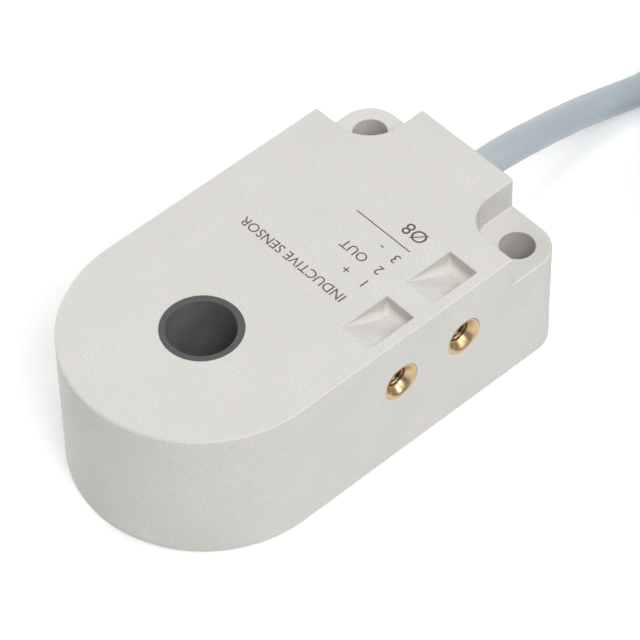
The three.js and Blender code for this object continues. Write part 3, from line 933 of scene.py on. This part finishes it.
def join_into(target, others):
    """Puts the other objects' meshes into the target's mesh."""
    work = bmesh.new()
    work.from_mesh(target.data)
    for other in others:
        work.from_mesh(other.data)
    work.to_mesh(target.data)
    work.free()
    for other in others:
        bpy.data.objects.remove(other)


# ------------------------------------------------------------------ printed legend


def text_mesh(text):
    data = bpy.data.curves.new("text", "FONT")
    data.body = text
    data.size = 1
    data.resolution_u = 3
    data.extrude = 0.5
    maker = bpy.data.objects.new("text", data)
    bpy.context.scene.collection.objects.link(maker)
    graph = bpy.context.evaluated_depsgraph_get()
    mesh = bpy.data.meshes.new_from_object(maker.evaluated_get(graph))
    bpy.data.objects.remove(maker)
    return mesh


def mesh_span(mesh, axis):
    values = [vertex.co[axis] for vertex in mesh.vertices]
    return min(values), max(values)


def print_matrix(start_x, baseline_y):
    """From reading direction along +X to the legend's own, along -X."""
    turn = Matrix.Rotation(math.pi, 4, "Z")
    lift = HEIGHT + PRINT_HEIGHT / 2
    return Matrix.Scale(MM, 4) @ Matrix.Translation((start_x, baseline_y, lift)) @ turn


def print_text(name, text, start_x, baseline_y, cap_height, material):
    mesh = text_mesh(text)
    low_x, _ = mesh_span(mesh, 0)
    _, cap_top = mesh_span(text_mesh("H"), 1)
    size = cap_height / cap_top
    fit = Matrix.Diagonal((size, size, PRINT_HEIGHT, 1)) @ Matrix.Translation((-low_x, 0, 0))
    mesh.transform(print_matrix(start_x, baseline_y) @ fit)
    made = bpy.data.objects.new(name, mesh)
    bpy.context.scene.collection.objects.link(made)
    return finish_piece(made, None, material, "print_ink")


def print_rule(name, material):
    length = PRINT_RULE["length"]
    thickness = PRINT_RULE["width"]
    half = PRINT_HEIGHT / 2
    corners = [(0, 0, 0), (length, 0, 0), (length, thickness, 0), (0, thickness, 0)]
    rule = prism(name, outline(corners), -half, half)
    rule.data.transform(print_matrix(PRINT_START_X, PRINT_RULE["y"]) @ Matrix.Scale(1 / MM, 4))
    return finish_piece(rule, None, material, "print_ink")


def build_legend(material):
    """Generic marks: the kind of sensor, the bore's size and a number for each wire."""
    print_text("print_kind", "INDUCTIVE SENSOR", PRINT_START_X, PRINT_KIND_Y, PRINT_CAP_HEIGHT, material)
    rows = [("1", "+"), ("2", "OUT"), ("3", "-")]
    use_x = PRINT_START_X - PRINT_USE_OFFSET
    for index, (number, use) in enumerate(rows):
        y = PRINT_FIRST_ROW_Y + PRINT_ROW_PITCH * index
        print_text(f"print_wire_{number}", number, PRINT_START_X, y, PRINT_CAP_HEIGHT, material)
        print_text(f"print_use_{number}", use, use_x, y, PRINT_CAP_HEIGHT, material)
    print_rule("print_rule", material)
    size = PRINT_BORE_SIZE
    print_text("print_bore_size", "Ø8", PRINT_START_X, size["y"], size["cap_height"], material)


# ------------------------------------------------------------------ materials


def new_material(name, colour, roughness, metallic=0.0):
    material = bpy.data.materials.new(name)
    material.use_nodes = True
    shader = material.node_tree.nodes["Principled BSDF"]
    shader.inputs["Base Color"].default_value = (*colour, 1)
    shader.inputs["Roughness"].default_value = roughness
    shader.inputs["Metallic"].default_value = metallic
    return material, material.node_tree, shader


def add_noise(tree, size_mm, detail=3.0, stretch=None):
    """Noise whose blobs are about size_mm across, in the row frame."""
    coordinates = tree.nodes.new("ShaderNodeTexCoord")
    noise = tree.nodes.new("ShaderNodeTexNoise")
    noise.inputs["Scale"].default_value = 1 / (size_mm * MM)
    noise.inputs["Detail"].default_value = detail
    noise.inputs["Roughness"].default_value = 0.55
    source = coordinates.outputs["Object"]
    if stretch:
        mapping = tree.nodes.new("ShaderNodeMapping")
        mapping.inputs["Scale"].default_value = stretch
        tree.links.new(source, mapping.inputs["Vector"])
        source = mapping.outputs["Vector"]
    tree.links.new(source, noise.inputs["Vector"])
    return noise.outputs["Fac"]


def add_ramp(tree, factor, stops):
    ramp = tree.nodes.new("ShaderNodeValToRGB")
    elements = ramp.color_ramp.elements
    while len(elements) < len(stops):
        elements.new(0.5)
    for element, (position, colour) in zip(elements, stops):
        element.position = position
        element.color = (*colour, 1)
    tree.links.new(factor, ramp.inputs["Fac"])
    return ramp.outputs["Color"]


def add_range(tree, factor, low, high):
    mapped = tree.nodes.new("ShaderNodeMapRange")
    mapped.inputs["From Min"].default_value = 0.3
    mapped.inputs["From Max"].default_value = 0.7
    mapped.inputs["To Min"].default_value = low
    mapped.inputs["To Max"].default_value = high
    tree.links.new(factor, mapped.inputs["Value"])
    return mapped.outputs["Result"]


def add_bump(tree, shader, height, distance_mm):
    bump = tree.nodes.new("ShaderNodeBump")
    bump.inputs["Distance"].default_value = distance_mm * MM
    tree.links.new(height, bump.inputs["Height"])
    tree.links.new(bump.outputs["Normal"], shader.inputs["Normal"])


def shade(colour, factor):
    return tuple(min(1.0, channel * factor) for channel in colour)


def mix_colours(tree, factor, low, high):
    mix = tree.nodes.new("ShaderNodeMix")
    mix.data_type = "RGBA"
    tree.links.new(factor, mix.inputs["Factor"])
    for value, socket in ((low, mix.inputs[6]), (high, mix.inputs[7])):
        if isinstance(value, tuple):
            socket.default_value = (*value, 1)
        else:
            tree.links.new(value, socket)
    return mix.outputs[2]


def grained(name, colour, roughness, grain, swing=0.04, bump=0.01, metallic=0.0, patches=6.0):
    """A finish with fine grain, soft larger patches, and roughness and bump that vary with them."""
    material, tree, shader = new_material(name, colour, roughness, metallic)
    fine = add_noise(tree, grain, 4)
    broad = add_noise(tree, patches, 2)
    fine_colour = add_ramp(tree, fine, [(0.3, shade(colour, 1 - swing)), (0.7, shade(colour, 1 + swing))])
    dull = add_range(tree, broad, 0.0, 0.5)
    toned = mix_colours(tree, dull, fine_colour, shade(colour, 1 - swing * 0.7))
    tree.links.new(toned, shader.inputs["Base Color"])
    tree.links.new(add_range(tree, broad, roughness * 0.9, roughness * 1.12), shader.inputs["Roughness"])
    add_bump(tree, shader, fine, bump)
    return material, tree, shader


def housing_material():
    colour = (0.64, 0.624, 0.592)
    material, tree, shader = grained(
        "housing_plastic", colour, 0.55, 0.22, swing=0.12, bump=0.02, patches=9
    )
    shader.inputs["Specular IOR Level"].default_value = 0.4
    # Painted highlight: the rounded edge faces get a base colour 12% lighter, standing in for light
    # catching the fillets.
    paint_light_and_shade_on_faces(tree, shader, "painted_edge_highlight", 0.6, shade(colour, 1.12))
    return material


def paint_light_and_shade_on_faces(tree, shader, name, amount, tone):
    """Painted light and shade: moves the base colour towards a lighter or darker tone, unevenly, on the
    faces that a piece has marked.
    """
    marked = tree.nodes.new("ShaderNodeAttribute")
    marked.attribute_name = name
    patchy = add_range(tree, add_noise(tree, 1.2, 3), amount * 0.7, amount)
    masked = tree.nodes.new("ShaderNodeMath")
    masked.operation = "MULTIPLY"
    tree.links.new(marked.outputs["Fac"], masked.inputs[0])
    tree.links.new(patchy, masked.inputs[1])
    current = shader.inputs["Base Color"].links[0].from_socket
    toned = mix_colours(tree, masked.outputs["Value"], current, tone)
    tree.links.new(toned, shader.inputs["Base Color"])


def cover_material():
    return grained("cover_plastic", (0.56, 0.555, 0.535), 0.6, 0.3, swing=0.05, bump=0.02)[0]


def sleeve_material():
    colour = (0.088, 0.093, 0.092)
    material, tree, shader = grained("sleeve_plastic", colour, 0.5, 0.18, swing=0.14, bump=0.008)
    shader.inputs["Specular IOR Level"].default_value = 0.35
    # Painted light: the bore's inner wall gets a base colour 2.3 times lighter, standing in for the light
    # that falls inside the bore.
    paint_light_and_shade_on_faces(tree, shader, "bore_wall_painted_light", 0.95, shade(colour, 2.3))
    return material


def brass_material():
    colour = (0.7, 0.53, 0.32)
    material, tree, shader = new_material("insert_brass", colour, 0.24, 1.0)
    turning = add_noise(tree, 0.35, 3, stretch=(6, 1, 1))
    tarnish = add_noise(tree, 1.1, 3)
    bright = add_ramp(tree, turning, [(0.3, shade(colour, 0.86)), (0.7, shade(colour, 1.12))])
    aged = mix_colours(tree, add_range(tree, tarnish, 0.0, 0.55), bright, (0.5, 0.34, 0.19))
    tree.links.new(aged, shader.inputs["Base Color"])
    tree.links.new(add_range(tree, tarnish, 0.26, 0.4), shader.inputs["Roughness"])
    # Painted shade: the thread down the insert's hole gets a dark brown base colour, standing in for the
    # shade inside the hole.
    paint_light_and_shade_on_faces(tree, shader, "thread", 0.9, (0.16, 0.09, 0.045))
    add_bump(tree, shader, turning, 0.008)
    return material


def rubber_material():
    return grained("grommet_rubber", (0.045, 0.048, 0.052), 0.7, 0.2, swing=0.2, bump=0.01)[0]


def jacket_material():
    colour = (0.43, 0.49, 0.525)
    material, _, shader = grained("cable_jacket", colour, 0.42, 0.3, swing=0.045, bump=0.01, patches=5)
    shader.inputs["Specular IOR Level"].default_value = 0.45
    return material


def insulation_material(name, colour):
    return grained(name, colour, 0.38, 0.25, swing=0.08, bump=0.006, patches=4)[0]


def tinned_material():
    return grained("tinned_copper", (0.68, 0.68, 0.69), 0.3, 0.15, 0.1, 0.01, metallic=1.0)[0]


def nylon_material():
    material, _, shader = grained("tie_nylon", (0.78, 0.77, 0.71), 0.45, 0.4, swing=0.04, bump=0.008)
    shader.inputs["Subsurface Weight"].default_value = 0.15
    shader.inputs["Subsurface Radius"].default_value = (0.001, 0.001, 0.001)
    return material


def ink_material():
    colour = (0.118, 0.088, 0.082)
    return grained("print_ink", colour, 0.5, 0.12, swing=0.18, bump=0.004, patches=3)[0]


INNER_FINISHES = {
    "potting_resin": ((0.012, 0.011, 0.01), 0.3, 0.8, 0.0),
    "bobbin_plastic": ((0.75, 0.71, 0.6), 0.5, 0.3, 0.0),
    "copper_wire": ((0.62, 0.26, 0.11), 0.32, 0.12, 1.0),
    "ferrite": ((0.03, 0.029, 0.03), 0.75, 0.1, 0.0),
    "board_laminate": ((0.015, 0.13, 0.045), 0.35, 0.5, 0.0),
    "chip_plastic": ((0.012, 0.012, 0.013), 0.5, 0.08, 0.0),
    "resistor_ceramic": ((0.02, 0.02, 0.028), 0.3, 0.2, 0.0),
    "capacitor_ceramic": ((0.42, 0.27, 0.12), 0.4, 0.25, 0.0),
    "can_aluminium": ((0.75, 0.76, 0.77), 0.28, 0.3, 1.0),
    "diode_glass": ((0.35, 0.09, 0.03), 0.12, 0.5, 0.0),
    "clamp_steel": ((0.6, 0.61, 0.62), 0.32, 0.2, 1.0),
    "brown_insulation": ((0.075, 0.026, 0.01), 0.38, 0.25, 0.0),
    "black_insulation": ((0.012, 0.012, 0.013), 0.38, 0.25, 0.0),
    "blue_insulation": ((0.012, 0.06, 0.33), 0.38, 0.25, 0.0),
}


def inner_material(slot):
    colour, roughness, grain, metallic = INNER_FINISHES[slot]
    return grained(slot, colour, roughness, grain, 0.12, 0.01, metallic)[0]


def dress_inner_nodes(finished):
    """Gives every CAD node that stays as it is the finish of its material slot."""
    slots = {part["node"]: part["material_slot"] for part in frame["record"]["subparts"]}
    made = {}
    for name, node in frame["nodes"].items():
        slot = slots[name]
        if node.hide_render or slot not in INNER_FINISHES:
            continue
        if slot not in made:
            made[slot] = finished.get(slot) or inner_material(slot)
        node.data.materials.clear()
        node.data.materials.append(made[slot])


# ------------------------------------------------------------------ studio


def add_floor():
    size = 6.0
    mesh = bpy.data.meshes.new("floor")
    corners = [(-size, -size, 0), (size, -size, 0), (size, size, 0), (-size, size, 0)]
    mesh.from_pydata(corners, [], [[0, 1, 2, 3]])
    floor = bpy.data.objects.new("floor", mesh)
    bpy.context.scene.collection.objects.link(floor)
    floor.location.z = -0.00002
    material, _, shader = new_material("floor_paper", (0.9, 0.9, 0.9), 0.9)
    shader.inputs["Specular IOR Level"].default_value = 0.1
    shader.inputs["Emission Color"].default_value = (1, 1, 1, 1)
    shader.inputs["Emission Strength"].default_value = 0.12
    mesh.materials.append(material)


def add_area_light(name, azimuth, elevation, distance, size, power):
    data = bpy.data.lights.new(name, "AREA")
    data.shape = "SQUARE"
    data.size = size
    data.energy = power
    light = bpy.data.objects.new(name, data)
    bpy.context.scene.collection.objects.link(light)
    a, e = math.radians(azimuth), math.radians(elevation)
    direction = Vector((math.sin(a) * math.cos(e), -math.cos(a) * math.cos(e), math.sin(e)))
    light.location = direction * distance
    light.rotation_mode = "QUATERNION"
    light.rotation_quaternion = direction.to_track_quat("Z", "Y")


def add_world(brightness):
    world = bpy.data.worlds.new("studio")
    world.use_nodes = True
    background = world.node_tree.nodes["Background"]
    background.inputs["Color"].default_value = (1, 1, 1, 1)
    background.inputs["Strength"].default_value = brightness
    bpy.context.scene.world = world


def add_studio():
    add_floor()
    add_world(0.2)
    add_area_light("key", 68, 56, 1.0, 0.4, 4.5)
    add_area_light("overhead", 0, 88, 1.0, 0.5, 3.2)
    add_area_light("left_rim", -95, 22, 1.0, 0.35, 4.2)
    add_area_light("right_rim", 122, 40, 1.0, 0.35, 2.0)
    bpy.context.scene.view_settings.view_transform = "Standard"


# ------------------------------------------------------------------ assembly

add_camera()

jacket = jacket_material()
path, tail_start = cable_path()
cable = curve_piece("cable", path, CABLE_RADIUS)
finish_piece(cable, "cable_lead", jacket, "cable_jacket", "cable_coil", "cable_tail")

grommet = build_grommet(rubber_material())

tinned = tinned_material()
finishes = {}
free_ends = []
for colour, side in (("brown", -1), ("black", 0), ("blue", 1)):
    slot_name = f"{colour}_insulation"
    finishes[slot_name] = insulation_material(slot_name, INNER_FINISHES[slot_name][0])
    wire, wire_points = build_free_wire(colour, side, finishes[slot_name])
    free_ends += [wire, build_tip(colour, wire_points, tinned)]

nylon = nylon_material()
ties = build_tie("cable_tie_1", "tie_one", nylon, tail_start)
ties += build_tie("cable_tie_2", "tie_two", nylon, tail_start)

build_housing(housing_material())
build_base_cover(cover_material())
build_sleeve(sleeve_material())
brass = brass_material()
build_insert("insert_front", "threaded_insert_front", brass)
build_insert("insert_rear", "threaded_insert_rear", brass)
build_legend(ink_material())
dress_inner_nodes(finishes)
add_studio()
